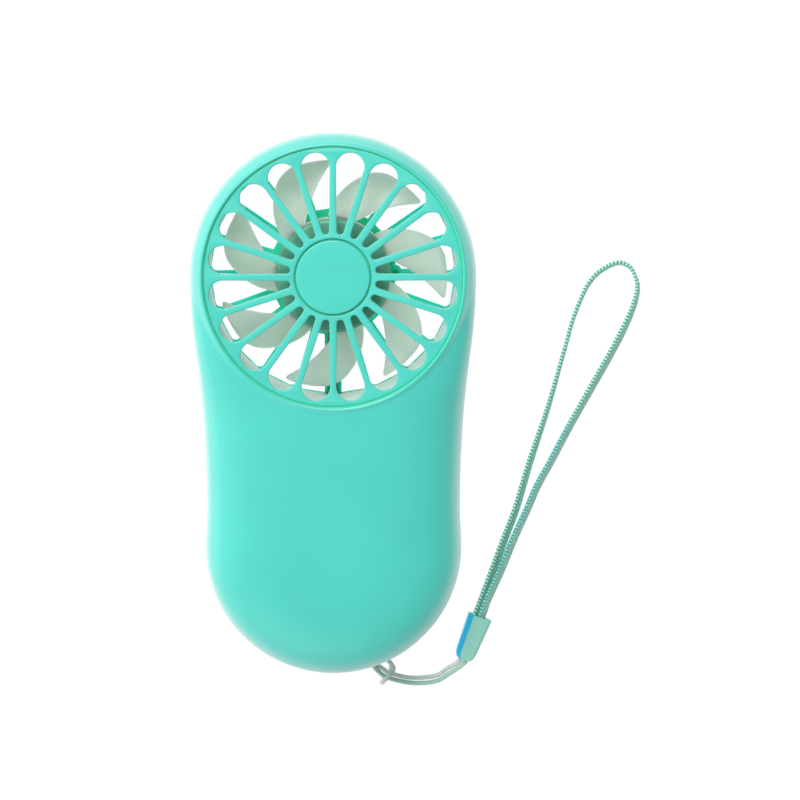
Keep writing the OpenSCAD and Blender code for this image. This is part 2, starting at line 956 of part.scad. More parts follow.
module lanyard_pin() {
  color(steel)
    at_pocket()
      cylinder_from(pin_r, pocket_low_z - 0.6, pocket_top_z + 0.6);
}

module strap_cord() {
  color(cord_mint)
    round_tube(cord_route, cord_d, 2);
}

// crimped sleeve, wider at the ribbon end, with rounded corners
module strap_ferrule() {
  color(strap_mint)
    translate([ferrule_x, ferrule_y, 0])
      rotate(ferrule_turn)
        intersection() {
          linear_extrude(4)
            polygon([
              [-2.8, ferrule_l], [2.8, ferrule_l], [2.35, 2.2], [2, 1], [1.3, 0],
              [-1.3, 0], [-2, 1], [-2.35, 2.2]
            ]);
          translate([0, ferrule_l + 1, 1.9])
            rotate([90, 0, 0])
              linear_extrude(ferrule_l + 2)
                rounded_rect(5.6, 3.7, 1);
        }
}

// flat ribbon along a route that carries its roll
module ribbon(route, w, t, steps) {
  q = smooth_route(route, steps);
  p = [for (c = q) [c[0], c[1], c[2]]];
  corners = [[-1, -1], [1, -1], [1, 1], [-1, 1]];
  polyhedron(
    points = [
      for (i = [0 : len(p) - 1])
        let (
          side = unit(cross(heading(p, i), [0, 0, 1])),
          face = cross(side, heading(p, i)),
          wide = cos(q[i][3]) * side - sin(q[i][3]) * face,
          thick = sin(q[i][3]) * side + cos(q[i][3]) * face
        )
        for (c = corners)
          p[i] + c[0] * w / 2 * wide + c[1] * t / 2 * thick
    ],
    faces = concat(
      [[3, 2, 1, 0]],
      stack_faces(len(p), 4),
      [[for (k = [0 : 3]) (len(p) - 1) * 4 + k]]
    )
  );
}

module wrist_strap() {
  color(strap_mint)
    ribbon(band_route, band_w, band_t, 2);
}

front_shell();
rear_shell();
front_grille();
grille_badge();
rear_grille();
impeller();
rotor_yoke();
magnet_ring();
rotor_shaft();
shaft_clip();
bearing_bush();
stator_core();
stator_bobbin();
coil_windings();
motor_board();
hall_driver();
motor_wires();
battery_cell();
battery_board();
battery_tape();
battery_wires();
main_board();
charge_chip();
boost_coil();
board_capacitors();
usb_socket();
tact_switch();
indicator_led();
light_pipe();
power_button();
shell_screws();
board_screws();
lanyard_pin();
strap_cord();
strap_ferrule();
wrist_strap();
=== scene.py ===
import math

import bmesh
import bpy
import numpy as np
from mathutils import Matrix, Vector


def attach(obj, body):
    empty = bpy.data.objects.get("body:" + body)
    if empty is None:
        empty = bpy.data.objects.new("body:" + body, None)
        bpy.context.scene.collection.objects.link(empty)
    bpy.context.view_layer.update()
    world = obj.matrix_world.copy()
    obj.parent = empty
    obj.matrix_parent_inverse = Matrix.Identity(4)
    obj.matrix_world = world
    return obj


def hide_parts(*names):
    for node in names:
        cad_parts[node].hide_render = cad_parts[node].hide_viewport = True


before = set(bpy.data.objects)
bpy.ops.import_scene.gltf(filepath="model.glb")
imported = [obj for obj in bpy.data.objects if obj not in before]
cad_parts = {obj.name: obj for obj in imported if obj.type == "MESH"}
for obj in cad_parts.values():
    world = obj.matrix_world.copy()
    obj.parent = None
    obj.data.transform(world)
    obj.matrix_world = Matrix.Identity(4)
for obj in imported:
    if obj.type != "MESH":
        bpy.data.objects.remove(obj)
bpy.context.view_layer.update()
MM = 0.001
scene = bpy.context.scene
scene.view_settings.view_transform = "Standard"

# ---------------------------------------------------------------- camera

CAM_AT = Vector((0.0, 63.4, 711.0)) * MM
CAM_TO = Vector((14.85, 0.61, 14.0)) * MM


def add_camera():
    data = bpy.data.cameras.new("camera")
    data.sensor_width = 36.0
    data.lens = 141.6
    cam = bpy.data.objects.new("camera", data)
    scene.collection.objects.link(cam)
    ahead = (CAM_TO - CAM_AT).normalized()
    right = ahead.cross(Vector((0, 1, 0))).normalized()
    up = right.cross(ahead)
    cam.matrix_world = Matrix(
        (
            (right.x, up.x, -ahead.x, CAM_AT.x),
            (right.y, up.y, -ahead.y, CAM_AT.y),
            (right.z, up.z, -ahead.z, CAM_AT.z),
            (0, 0, 0, 1),
        )
    )
    scene.camera = cam


add_camera()

# ---------------------------------------------------------------- helpers


def linear(c):
    """sRGB numbers from 0 to 255 as a linear colour."""
    return tuple(
        ((v / 255 + 0.055) / 1.055) ** 2.4 if v > 10.3 else v / 255 / 12.92 for v in c
    ) + (1.0,)


def new_piece(name, mesh, body="housing", sharp=35):
    obj = bpy.data.objects.new(name, mesh)
    scene.collection.objects.link(obj)
    if isinstance(mesh, bpy.types.Mesh):
        for p in mesh.polygons:
            p.use_smooth = True
        mesh.set_sharp_from_angle(angle=math.radians(sharp))
    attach(obj, body)
    return obj


def grid_mesh(name, rows, closed_rows=False, closed_cols=True):
    """A mesh from rows of points, each row as long as the others, in mm."""
    rows = [np.asarray(r, float) for r in rows]
    n, m = len(rows), len(rows[0])
    verts = np.concatenate(rows) * MM
    faces = []
    for i in range(n if closed_rows else n - 1):
        for j in range(m if closed_cols else m - 1):
            a, b = i * m + j, i * m + (j + 1) % m
            c, d = ((i + 1) % n) * m + (j + 1) % m, ((i + 1) % n) * m + j
            faces.append((a, b, c, d))
    mesh = bpy.data.meshes.new(name)
    mesh.from_pydata([tuple(v) for v in verts], [], faces)
    return mesh


def tidy(mesh, weld=0.002):
    """Welds close points, drops empty faces and turns all faces outwards."""
    bm = bmesh.new()
    bm.from_mesh(mesh)
    bmesh.ops.remove_doubles(bm, verts=bm.verts, dist=weld * MM)
    bmesh.ops.dissolve_degenerate(bm, edges=bm.edges, dist=weld * MM * 0.1)
    bmesh.ops.recalc_face_normals(bm, faces=bm.faces)
    bm.to_mesh(mesh)
    bm.free()
    return mesh


def join_meshes(name, meshes):
    bm = bmesh.new()
    for m in meshes:
        bm.from_mesh(m)
    out = bpy.data.meshes.new(name)
    bm.to_mesh(out)
    bm.free()
    return out


def lathe(name, profile, steps=128, centre=(0, 0)):
    """Profile of (radius, height) in mm turned about +Z; it may start and end on the axis."""
    turn = np.linspace(0, 2 * math.pi, steps, endpoint=False)
    rows = [
        np.stack(
            [
                centre[0] + r * np.cos(turn),
                centre[1] + r * np.sin(turn),
                np.full(steps, float(z)),
            ],
            1,
        )
        for r, z in profile
    ]
    return tidy(grid_mesh(name, rows), 0.001)


def smooth_route(points, steps):
    """The same smooth curve through the route points as the CAD's."""
    p = np.array(points, float)
    out = []
    for i in range(len(p) - 1):
        a, b, c, d = p[max(i - 1, 0)], p[i], p[i + 1], p[min(i + 2, len(p) - 1)]
        for k in range(steps):
            t = k / steps
            out.append(
                0.5
                * (
                    2 * b
                    + (c - a) * t
                    + (2 * a - 5 * b + 4 * c - d) * t * t
                    + (3 * b - a - 3 * c + d) * t**3
                )
            )
    out.append(p[-1])
    return np.array(out)


# ---------------------------------------------------------------- materials


class Nodes:
    """Short calls to build one material's nodes."""

    def __init__(self, name):
        self.mat = bpy.data.materials.new(name)
        self.mat.use_nodes = True
        self.tree = self.mat.node_tree
        self.shader = self.tree.nodes["Principled BSDF"]

    def add(self, kind, **props):
        n = self.tree.nodes.new(kind)
        for k, v in props.items():
            setattr(n, k, v)
        return n

    def put(self, socket, value):
        if isinstance(value, bpy.types.NodeSocket):
            self.tree.links.new(value, socket)
        else:
            socket.default_value = value

    def coords(self, which="Object"):
        return self.add("ShaderNodeTexCoord").outputs[which]

    def noise(self, vector, scale, detail=3.0, rough=0.5):
        n = self.add("ShaderNodeTexNoise")
        self.put(n.inputs["Vector"], vector)
        n.inputs["Scale"].default_value = scale
        n.inputs["Detail"].default_value = detail
        n.inputs["Roughness"].default_value = rough
        return n.outputs["Fac"]

    def math(self, op, a, b=0.0, clamp=False):
        n = self.add("ShaderNodeMath", operation=op, use_clamp=clamp)
        self.put(n.inputs[0], a)
        self.put(n.inputs[1], b)
        return n.outputs[0]

    def ramp(self, value, low, high, a, b):
        n = self.add("ShaderNodeMapRange", clamp=True)
        self.put(n.inputs["Value"], value)
        for key, v in (("From Min", low), ("From Max", high), ("To Min", a), ("To Max", b)):
            self.put(n.inputs[key], v)
        return n.outputs["Result"]

    def mix(self, fac, a, b):
        n = self.add("ShaderNodeMix", data_type="RGBA")
        self.put(n.inputs["Factor"], fac)
        self.put(n.inputs[6], a)
        self.put(n.inputs[7], b)
        return n.outputs[2]

    def bump(self, height, strength, distance):
        n = self.add("ShaderNodeBump")
        self.put(n.inputs["Height"], height)
        n.inputs["Strength"].default_value = strength
        n.inputs["Distance"].default_value = distance
        self.tree.links.new(n.outputs["Normal"], self.shader.inputs["Normal"])

    def link(self, value, socket):
        self.tree.links.new(value, self.shader.inputs[socket])


def plastic(
    name, tone, vary=0.04, rough=(0.3, 0.4), grain=900, bump=0.08, coat=0.0, coat_rough=0.1,
    sheen=0.0, specular=0.5, glow=0.0, depth=(0.8, 1.0, 0.9), reach=0.0015, sheen_rough=0.4,
    groove_shade=None,
):
    """Moulded plastic: a fine spark-eroded grain, and slow drift of tone and gloss."""
    n = Nodes(name)
    at = n.coords()
    slow = n.noise(at, 60, 2)
    fine = n.noise(at, grain * 4, 4, 0.6)
    base = linear(tone)
    darker = tuple(v * (1 - vary) for v in base[:3]) + (1.0,)
    lighter = tuple(min(1.0, v * (1 + vary)) for v in base[:3]) + (1.0,)
    shade = n.mix(n.ramp(slow, 0.3, 0.7, 0, 1), darker, lighter)
    # painted shade: each listed gap gets a saturated green line along its radius, standing in for the shade
    # that falls in the groove
    for radius, half, colour in groove_shade or ():
        sep = n.add("ShaderNodeSeparateXYZ")
        n.put(sep.inputs[0], at)
        up = n.math("SUBTRACT", sep.outputs["Y"], HEAD_Y * MM)
        out = n.math("SQRT", n.math("ADD", n.math("POWER", sep.outputs["X"], 2), n.math("POWER", up, 2)))
        off = n.math("ABSOLUTE", n.math("SUBTRACT", out, radius * MM))
        line = n.ramp(off, half * 0.5 * MM, half * MM, 1, 0)
        line = n.math("MULTIPLY", line, n.ramp(sep.outputs["Z"], 0.0245, 0.025, 0, 1))
        shade = n.mix(line, shade, linear(colour))
    n.link(shade, "Base Color")
    n.link(n.ramp(fine, 0.3, 0.7, rough[0], rough[1]), "Roughness")
    n.bump(fine, bump, 0.00004)
    s = n.shader.inputs
    s["Specular IOR Level"].default_value = specular
    s["Coat Weight"].default_value = coat
    s["Coat Roughness"].default_value = coat_rough
    s["Sheen Weight"].default_value = sheen
    s["Sheen Roughness"].default_value = sheen_rough
    if glow:
        s["Subsurface Weight"].default_value = glow
        s["Subsurface Radius"].default_value = depth
        s["Subsurface Scale"].default_value = reach
    return n.mat


def metal(name, tone, rough=(0.25, 0.4), scale=300, stretch=(1, 1, 1), bump=0.1):
    """Bare metal with fine drawn lines or a cast grain."""
    n = Nodes(name)
    m = n.add("ShaderNodeMapping")
    n.put(m.inputs["Vector"], n.coords())
    m.inputs["Scale"].default_value = stretch
    lines = n.noise(m.outputs[0], scale * 3, 5, 0.6)
    base = linear(tone)
    dark = tuple(v * 0.8 for v in base[:3]) + (1.0,)
    n.link(n.mix(n.ramp(lines, 0.35, 0.65, 0, 1), dark, base), "Base Color")
    n.link(n.ramp(lines, 0.3, 0.7, rough[0], rough[1]), "Roughness")
    n.bump(lines, bump, 0.00005)
    n.shader.inputs["Metallic"].default_value = 1.0
    return n.mat


def wound_copper(name):
    """Enamelled wire laid side by side round each pole."""
    n = Nodes(name)
    sep = n.add("ShaderNodeSeparateXYZ")
    n.put(sep.inputs[0], n.coords())
    dx = n.math("ABSOLUTE", sep.outputs["X"])
    dy = n.math("ABSOLUTE", n.math("SUBTRACT", sep.outputs["Y"], 0.0286))
    along = n.math("MAXIMUM", dx, dy)
    # painted shade and highlight: dark in the valleys between turns, bright on each round wire's crown
    wire = n.math("ABSOLUTE", n.math("SINE", n.math("MULTIPLY", along, math.pi / 0.00022)))
    n.link(n.mix(wire, linear((96, 44, 20)), linear((214, 128, 74))), "Base Color")
    n.bump(wire, 0.7, 0.00008)
    n.shader.inputs["Metallic"].default_value = 0.7
    n.shader.inputs["Roughness"].default_value = 0.3
    return n.mat


def circuit_board(name):
    """Green solder mask over traces, with a scatter of tinned pads."""
    n = Nodes(name)
    at = n.coords()
    brick = n.add("ShaderNodeTexBrick", offset=0.37)
    n.put(brick.inputs["Vector"], at)
    brick.inputs["Scale"].default_value = 330
    brick.inputs["Mortar Size"].default_value = 0.06
    trace = brick.outputs["Fac"]
    cells = n.add("ShaderNodeTexVoronoi", feature="F1", distance="CHEBYCHEV")
    n.put(cells.inputs["Vector"], at)
    cells.inputs["Scale"].default_value = 420
    pad = n.ramp(cells.outputs["Distance"], 0.16, 0.2, 1, 0)
    mask = n.mix(trace, linear((18, 88, 46)), linear((34, 124, 66)))
    n.link(n.mix(pad, mask, linear((190, 192, 186))), "Base Color")
    n.link(n.ramp(pad, 0, 1, 0.42, 0.22), "Roughness")
    n.bump(n.math("ADD", trace, pad), 0.3, 0.00005)
    return n.mat


def woven(name, light, dark, edge, edge_from):
    """Flat woven ribbon. The weave map holds the run along it and the place across it, in mm."""
    n = Nodes(name)
    sep = n.add("ShaderNodeSeparateXYZ")
    n.put(sep.inputs[0], n.add("ShaderNodeUVMap", uv_map="weave").outputs[0])
    run, across = sep.outputs["X"], sep.outputs["Y"]
    # five ribs run along the ribbon, and a row of stitches shows on each
    rib = n.math("MULTIPLY", across, 1 / 0.74)
    rib_wave = n.math("ABSOLUTE", n.math("SINE", n.math("MULTIPLY", rib, math.pi)))
    row = n.math("FLOOR", rib)
    shifted = n.math("ADD", n.math("MULTIPLY", run, 1 / 0.8), n.math("MULTIPLY", row, 0.5))
    slant = n.math("ADD", shifted, n.math("MULTIPLY", n.math("FRACT", rib), 0.3))
    from_middle = n.math("ABSOLUTE", n.math("SUBTRACT", n.math("FRACT", slant), 0.5))
    on_rib = n.ramp(rib_wave, 0.3, 0.65, 0, 1)
    dash = n.math("MULTIPLY", n.ramp(from_middle, 0.12, 0.26, 1, 0), on_rib)
    gleam = n.math("MULTIPLY", n.ramp(from_middle, 0.3, 0.42, 0, 1), on_rib)
    thread = n.noise(n.coords(), 5200, 3, 0.7)
    shade = n.mix(n.ramp(thread, 0.3, 0.7, 0, 1), linear(light), linear([v * 0.9 for v in light]))
    # painted highlight: a pale gleam on the crowns of the stitches
    shade = n.mix(n.math("MULTIPLY", gleam, 0.7), shade, linear((226, 244, 232)))
    shade = n.mix(n.math("MULTIPLY", dash, 0.85), shade, linear(dark))
    # bright edge thread where the two legs lie together
    tick = n.ramp(n.math("FRACT", n.math("MULTIPLY", run, 1 / 1.4)), 0.25, 0.5, 0.2, 0.9)
    near_edge = n.math("MULTIPLY", n.ramp(across, 0.15, 0.3, 1, 0), tick)
    near_edge = n.math("MULTIPLY", near_edge, n.ramp(run, edge_from, edge_from + 4, 0, 1))
    n.link(n.mix(near_edge, shade, linear(edge)), "Base Color")
    height = n.math("SUBTRACT", n.math("ADD", rib_wave, n.math("MULTIPLY", thread, 0.5)), dash)
    n.bump(height, 0.6, 0.00012)
    s = n.shader.inputs
    s["Roughness"].default_value = 0.75
    s["Sheen Weight"].default_value = 0.35
    s["Sheen Roughness"].default_value = 0.5
    s["Specular IOR Level"].default_value = 0.25
    return n.mat


def braided(name, light, far_light, dark, change):
    """Thin braided cord: threads cross in two helices, read from the weave map."""
    n = Nodes(name)
    sep = n.add("ShaderNodeSeparateXYZ")
    n.put(sep.inputs[0], n.add("ShaderNodeUVMap", uv_map="weave").outputs[0])
    run = n.math("MULTIPLY", sep.outputs["X"], 2 * math.pi / 1.1)
    round_it = n.math("MULTIPLY", sep.outputs["Y"], 2 * math.pi * 3)
    threads = []
    for op in ("ADD", "SUBTRACT"):
        threads.append(n.math("ABSOLUTE", n.math("SINE", n.math(op, round_it, run))))
    both = n.math("MAXIMUM", threads[0], threads[1])
    low = n.math("MINIMUM", threads[0], threads[1])
    fuzz = n.noise(n.coords(), 4000, 3, 0.6)
    tone = n.mix(n.ramp(sep.outputs["X"], change, change + 8, 0, 1), linear(light), linear(far_light))
    worn = tuple(v * 0.85 for v in linear(light)[:3]) + (1.0,)
    tone = n.mix(n.ramp(fuzz, 0.35, 0.75, 0, 0.5), tone, worn)
    # painted shade: the dark tone along the low gaps where the threads meet
    n.link(n.mix(n.ramp(low, 0.0, 0.3, 0.6, 0), tone, linear(dark)), "Base Color")
    n.bump(n.math("ADD", n.math("MULTIPLY", both, low), n.math("MULTIPLY", fuzz, 0.4)), 0.5, 0.0001)
    s = n.shader.inputs
    s["Roughness"].default_value = 0.5
    s["Sheen Weight"].default_value = 0.3
    s["Specular IOR Level"].default_value = 0.4
    s["Subsurface Weight"].default_value = 0.2
    s["Subsurface Radius"].default_value = (1.0, 1.0, 1.0)
    s["Subsurface Scale"].default_value = 0.0006
    return n.mat


HEAD_Y = 28.6
MINT = (64, 212, 197)
# painted shade lines for the gaps round the grille plate and the badge: radius, half width and colour
GROOVE_SHADE_LINES = ((28.36, 0.5, (24, 214, 176)), (8.25, 0.3, (24, 205, 166)))
shell_mat = plastic(
    "shell_mint", MINT, vary=0.03, rough=(0.34, 0.44), grain=1100, bump=0.05,
    coat=0.3, coat_rough=0.2, sheen=0.85, sheen_rough=0.55, groove_shade=GROOVE_SHADE_LINES[:1],
)
grille_mat = plastic(
    "grille_mint", (72, 214, 198), vary=0.03, rough=(0.34, 0.44), grain=1100, bump=0.04,
    coat=0.3, coat_rough=0.2, sheen=0.4, sheen_rough=0.5, groove_shade=GROOVE_SHADE_LINES,
)
# painted reflection: the duct bore is the shell's own mint plastic, painted near white for the glare seen on
# it
duct_glare_mat = plastic(
    "duct_painted_glare", (240, 250, 247), vary=0.02, rough=(0.4, 0.5), grain=900, bump=0.02,
)
# painted shade and light: the rear grille is the shell's mint plastic, given a brighter, more saturated tone
# for the green its shaded ribs show
rear_shade_tint_mat = plastic(
    "rear_mint", (40, 232, 196), vary=0.03, rough=(0.36, 0.46), grain=1100, bump=0.05,
    glow=0.9, depth=(0.2, 1.0, 0.95), reach=0.003,
)
blade_mat = plastic(
    "blade_green", (220, 232, 214), vary=0.04, rough=(0.3, 0.42), grain=700, bump=0.04, coat=0.2,
    glow=1.0, depth=(0.85, 1.0, 0.85), reach=0.006,
)
# painted shade: the hub is the blades' own plastic, painted darker and greener for the shade it sits in
# under the badge
hub_shade_mat = plastic(
    "hub_painted_shade", (104, 178, 150), vary=0.04, rough=(0.3, 0.42), grain=700, bump=0.04, coat=0.2,
    glow=0.5, depth=(0.6, 1.0, 0.8), reach=0.003,
)
steel_mat = metal("steel", (190, 194, 197), stretch=(1, 1, 6))
magnet_mat = plastic("magnet", (58, 60, 64), vary=0.12, rough=(0.55, 0.75), grain=500, bump=0.25)
core_mat = metal("core_steel", (128, 132, 138), rough=(0.35, 0.55), stretch=(0.2, 0.2, 12))
copper_mat = wound_copper("copper_wire")
nylon_mat = plastic("nylon", (232, 229, 216), vary=0.04, rough=(0.4, 0.5), grain=800, bump=0.1, glow=0.2)
brass_mat = metal("brass", (203, 164, 92), rough=(0.3, 0.5), scale=500)
board_mat = circuit_board("circuit_board")
chip_mat = plastic("chip_black", (30, 30, 33), vary=0.15, rough=(0.45, 0.6), grain=1500, bump=0.2)
cell_mat = plastic(
    "cell_foil", (186, 190, 198), vary=0.06, rough=(0.2, 0.34), grain=160, bump=0.35, specular=0.8,
)
tape_mat = plastic("foam_tape", (218, 186, 84), vary=0.1, rough=(0.7, 0.9), grain=600, bump=0.6)
wire_mat = plastic("wire_red", (190, 36, 30), vary=0.08, rough=(0.3, 0.45), grain=900, bump=0.1)
clear_mat = plastic(
    "clear_plastic", (232, 242, 240), vary=0.02, rough=(0.1, 0.2), grain=500, bump=0.04, coat=0.5,
)
ferrule_mat = plastic(
    "ferrule_paint", (156, 222, 206), vary=0.04, rough=(0.32, 0.42), grain=900, bump=0.08, coat=0.3,
)
bevel_mat = plastic(
    "ferrule_edge", (8, 190, 240), vary=0.08, rough=(0.25, 0.35), grain=900, bump=0.05, coat=0.4,
)
webbing_mat = woven("webbing", (158, 244, 224), (60, 158, 140), (20, 196, 214), 130.0)
cord_mat = braided("cord_braid", (236, 244, 238), (190, 236, 214), (122, 150, 138), 58.0)

CAD_LOOKS = {
    "rear_shell": shell_mat, "rear_grille": rear_shade_tint_mat, "rotor_yoke": steel_mat,
    "magnet_ring": magnet_mat, "rotor_shaft": steel_mat, "shaft_clip": nylon_mat,
    "bearing_bush": brass_mat, "stator_core": core_mat, "stator_bobbin": nylon_mat,
    "coil_windings": copper_mat, "motor_board": board_mat, "hall_driver": chip_mat,
    "motor_wires": wire_mat, "battery_cell": cell_mat, "battery_board": board_mat,
    "battery_tape": tape_mat, "battery_wires": wire_mat, "main_board": board_mat,
    "charge_chip": chip_mat, "boost_coil": magnet_mat, "board_capacitors": tape_mat,
    "usb_socket": steel_mat, "tact_switch": chip_mat, "indicator_led": clear_mat,
    "light_pipe": clear_mat, "power_button": shell_mat, "shell_screws": steel_mat,
    "board_screws": steel_mat, "lanyard_pin": steel_mat,
}


def paint(obj, mat):
    obj.data.materials.clear()
    obj.data.materials.append(mat)


for node, mat in CAD_LOOKS.items():
    paint(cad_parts[node], mat)

# ---------------------------------------------------------------- lanyard cord and strap

# route points in metres, the same as in the CAD
CORD_ROUTE = [
    (0.0293, -0.05875, 0.0019), (0.02865, -0.06035, 0.0012), (0.0260, -0.06215, 0.00065),
    (0.0231, -0.0639, 0.00062), (0.0176, -0.0643, 0.00065), (0.0128, -0.0630, 0.0018),
    (0.0111, -0.0618, 0.0023), (0.0095, -0.0604, 0.0034), (0.0082, -0.0582, 0.00495),
    (0.0049, -0.0533, 0.0064), (0.0047, -0.0517, 0.0064), (0.0057, -0.0505, 0.0064),
    (0.0073, -0.0503, 0.0064), (0.0085, -0.0513, 0.0064), (0.0099, -0.0548, 0.0057),
    (0.0119, -0.0591, 0.0030), (0.0131, -0.0613, 0.0011), (0.0126, -0.0634, 0.00062),
    (0.0112, -0.0650, 0.0011), (0.0111, -0.0650, 0.00235), (0.0125, -0.0634, 0.00315),
    (0.0136, -0.0617, 0.0029), (0.0120, -0.0590, 0.0047), (0.0099, -0.0548, 0.0071),
    (0.0085, -0.0513, 0.0078), (0.0073, -0.0503, 0.0078), (0.0057, -0.0505, 0.0078),
    (0.0047, -0.0517, 0.0078), (0.0049, -0.0533, 0.0078), (0.0078, -0.0585, 0.0064),
    (0.0090, -0.0609, 0.0045), (0.0103, -0.0626, 0.0026), (0.0122, -0.06405, 0.00175),
    (0.0176, -0.0655, 0.00065), (0.0231, -0.0652, 0.00062), (0.0266, -0.06325, 0.00065),
    (0.0298, -0.06085, 0.0012), (0.0304, -0.05915, 0.0019),
]
# ribbon route: x, y and z in metres and roll in degrees
BAND_ROUTE = [
    (0.0321, -0.0509, 0.0018, 61), (0.0329, -0.0486, 0.0018, 61),
    (0.0337, -0.0465, 0.0018, 61), (0.0363, -0.0394, 0.0018, 61),
    (0.0388, -0.0325, 0.0018, 62), (0.0414, -0.0256, 0.0018, 64),
    (0.0430, -0.0202, 0.0018, 65), (0.0446, -0.0147, 0.0018, 67),
    (0.0464, -0.0092, 0.0018, 70), (0.0482, -0.0037, 0.0018, 74),
    (0.0498, 0.0017, 0.0018, 77), (0.0513, 0.0072, 0.0018, 80),
    (0.0528, 0.0126, 0.0018, 81), (0.0543, 0.0180, 0.0018, 81),
    (0.0565, 0.0235, 0.0018, 80), (0.0580, 0.0262, 0.0018, 78),
    (0.0604, 0.0287, 0.0018, 77), (0.0642, 0.0305, 0.0018, 79),
    (0.0670, 0.0296, 0.0018, 87), (0.0684, 0.0271, 0.0018, 96),
    (0.0688, 0.0246, 0.0018, 104), (0.0679, 0.0207, 0.0018, 110),
    (0.0656, 0.0153, 0.0018, 115), (0.0628, 0.0099, 0.0018, 117),
    (0.0582, 0.0017, 0.0018, 117), (0.0536, -0.0065, 0.0018, 117),
    (0.0493, -0.0147, 0.0018, 117), (0.0463, -0.0202, 0.0018, 117),
    (0.0440, -0.0256, 0.0018, 117), (0.0409, -0.0325, 0.0018, 118),
    (0.0381, -0.0394, 0.0018, 119), (0.0350, -0.0463, 0.0018, 119),
    (0.0342, -0.0486, 0.0018, 119), (0.0333, -0.0510, 0.0018, 119),
]
BAND_W, BAND_T, CORD_D = 3.4, 0.8, 1.05
FERRULE_AT, FERRULE_TURN, FERRULE_L = (29.5, -59.8), -21.3, 10.5


def close_ends(mesh, ring, uv_of):
    """Caps a swept tube's two ends and writes its weave map: run and place across, in mm."""
    bm = bmesh.new()
    bm.from_mesh(mesh)
    bm.verts.ensure_lookup_table()
    uv = bm.loops.layers.uv.new("weave")
    for f in bm.faces:
        ids = [loop.vert.index for loop in f.loops]
        wraps = max(i % ring for i in ids) - min(i % ring for i in ids) > ring / 2
        for loop, i in zip(f.loops, ids):
            k = i % ring
            loop[uv].uv = uv_of(i // ring, k + ring if wraps and k < ring / 2 else k)
    last = len(bm.verts) - ring
    for start, run in ((0, 0), (last, last // ring)):
        cap = bm.faces.new([bm.verts[start + k] for k in range(ring)])
        for loop in cap.loops:
            loop[uv].uv = uv_of(run, 0)
    bmesh.ops.recalc_face_normals(bm, faces=bm.faces)
    bm.to_mesh(mesh)
    bm.free()
    return mesh


def make_cord():
    """Round cord swept along its route. Rings turn with the run, so nothing twists."""
    p = smooth_route(CORD_ROUTE, 8) / MM
    rows, runs = [], [0.0]
    side = np.array([0.0, 0.0, 1.0])
    for i in range(len(p)):
        ahead = p[min(i + 1, len(p) - 1)] - p[max(i - 1, 0)]
        ahead /= np.linalg.norm(ahead)
        side = side - ahead * side.dot(ahead)
        side /= np.linalg.norm(side)
        other = np.cross(ahead, side)
        turn = np.linspace(0, 2 * math.pi, 16, endpoint=False)
        rows.append([p[i] + CORD_D / 2 * (math.cos(a) * side + math.sin(a) * other) for a in turn])
        if i:
            runs.append(runs[-1] + float(np.linalg.norm(p[i] - p[i - 1])))
    mesh = close_ends(grid_mesh("strap_cord_braid", rows), 16, lambda i, k: (runs[i], k / 16))
    obj = new_piece("strap_cord_braid", mesh, sharp=60)
    paint(obj, cord_mat)
    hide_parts("strap_cord")
    return obj, runs[-1] * MM, p * MM


def make_ribbon():
    """Flat ribbon with rounded selvedges. Its weave map is measured across the flat."""
    q = smooth_route([(x / MM, y / MM, z / MM, r) for x, y, z, r in BAND_ROUTE], 10)
    p = q[:, :3]
    ring = []
    for side in (1, -1):
        for k in range(9):
            a = math.radians(-90 + 180 * k / 8) if side > 0 else math.radians(90 + 180 * k / 8)
            out = side * (BAND_W / 2 - BAND_T / 2) + BAND_T / 2 * math.cos(a)
            ring.append((out, BAND_T / 2 * math.sin(a)))
    flat = []
    for k, (u, v) in enumerate(ring):
        flat.append((u, v))
        if k == 8 or k == 17:
            nxt = ring[(k + 1) % 18]
            for j in range(1, 8):
                flat.append((u + (nxt[0] - u) * j / 8, v))
    n = len(flat)
    rows, runs, run = [], [], 0.0
    for i in range(len(p)):
        ahead = p[min(i + 1, len(p) - 1)] - p[max(i - 1, 0)]
        ahead /= np.linalg.norm(ahead)
        side = np.cross(ahead, (0, 0, 1))
        side /= np.linalg.norm(side)
        face = np.cross(side, ahead)
        c, s = math.cos(math.radians(q[i, 3])), math.sin(math.radians(q[i, 3]))
        wide, thick = c * side - s * face, s * side + c * face
        rows.append([p[i] + u * wide + v * thick for u, v in flat])
        if i:
            run += float(np.linalg.norm(p[i] - p[i - 1]))
        runs.append(run)
    mesh = close_ends(
        grid_mesh("wrist_strap_webbing", rows), n, lambda i, k: (runs[i], flat[k % n][0] + 1.86)
    )
    obj = new_piece("wrist_strap_webbing", mesh, sharp=60)
    paint(obj, webbing_mat)
    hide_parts("wrist_strap")
    return obj, run, p * MM


def sleeve_half(y):
    """Half the sleeve's width at a height above its foot: it widens upwards, its foot is round."""
    wide = 2.25 + 0.55 * y / FERRULE_L
    if y < 2.2:
        wide *= 0.55 + 0.45 * math.sqrt(max(0.0, 1 - ((2.2 - y) / 2.2) ** 2))
    return wide


